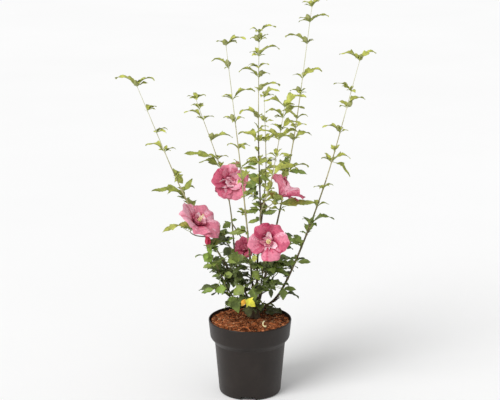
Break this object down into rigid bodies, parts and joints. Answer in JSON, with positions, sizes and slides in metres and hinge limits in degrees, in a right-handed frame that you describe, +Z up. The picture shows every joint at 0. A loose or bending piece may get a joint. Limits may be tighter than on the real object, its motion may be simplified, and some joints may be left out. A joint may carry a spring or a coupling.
{
  "type": "potted hibiscus shrub",
  "caption": "Young flowering hibiscus shrub: slender arching canes with lobed leaves, buds and pink double flowers, in a round black nursery pot topped with bark mulch.",
  "frame": {"origin": "centre of the pot's flat underside", "axes": "+Z up, +X to the right and -Y towards the viewer in the reference view"},
  "size_m": [0.5624, 0.4429, 0.8927],
  "materials": {
    "pot": "fine matt moulded plastic, charcoal black",
    "mulch": "loose red-brown bark and coir fibre",
    "bark": "thin smooth bark, dark below and olive above",
    "young_growth": "yellow-green young stems, leaves and buds",
    "leaves": "dark green leaves with a slight gloss",
    "blossom": "soft matt pink petals"
  },
  "bodies": {
    "root": {"pot": "pot", "soil": "mulch", "trunk": "bark", "bough_far_left": "bark", "bough_left": "bark", "bough_middle_left": "bark", "bough_right": "bark", "bough_far_right": "bark", "bough_front_left": "bark", "bough_centre": "bark", "bough_front": "bark", "flower_front": "blossom", "flower_left": "blossom", "flower_upper_left": "blossom", "flower_upper_right": "blossom", "flower_behind": "blossom", "shoot_far_left": "young_growth", "shoot_left": "young_growth", "shoot_middle_left": "young_growth", "shoot_right": "young_growth", "shoot_far_right": "young_growth", "shoot_front_left": "young_growth", "shoot_centre": "young_growth", "shoot_back": "young_growth", "shoot_front": "young_growth", "foliage_low_left": "leaves", "foliage_low_front_left": "leaves", "foliage_low_front": "leaves", "foliage_low_front_right": "leaves", "foliage_low_right": "leaves", "foliage_low_back_right": "leaves", "foliage_low_back": "leaves", "foliage_low_back_left": "leaves", "foliage_middle_left": "leaves", "foliage_middle_front_left": "leaves", "foliage_middle_front": "leaves", "foliage_middle_right": "leaves", "foliage_middle_back_right": "leaves", "foliage_middle_back": "leaves", "foliage_middle_inside": "leaves"}
  },
  "joints": []
}
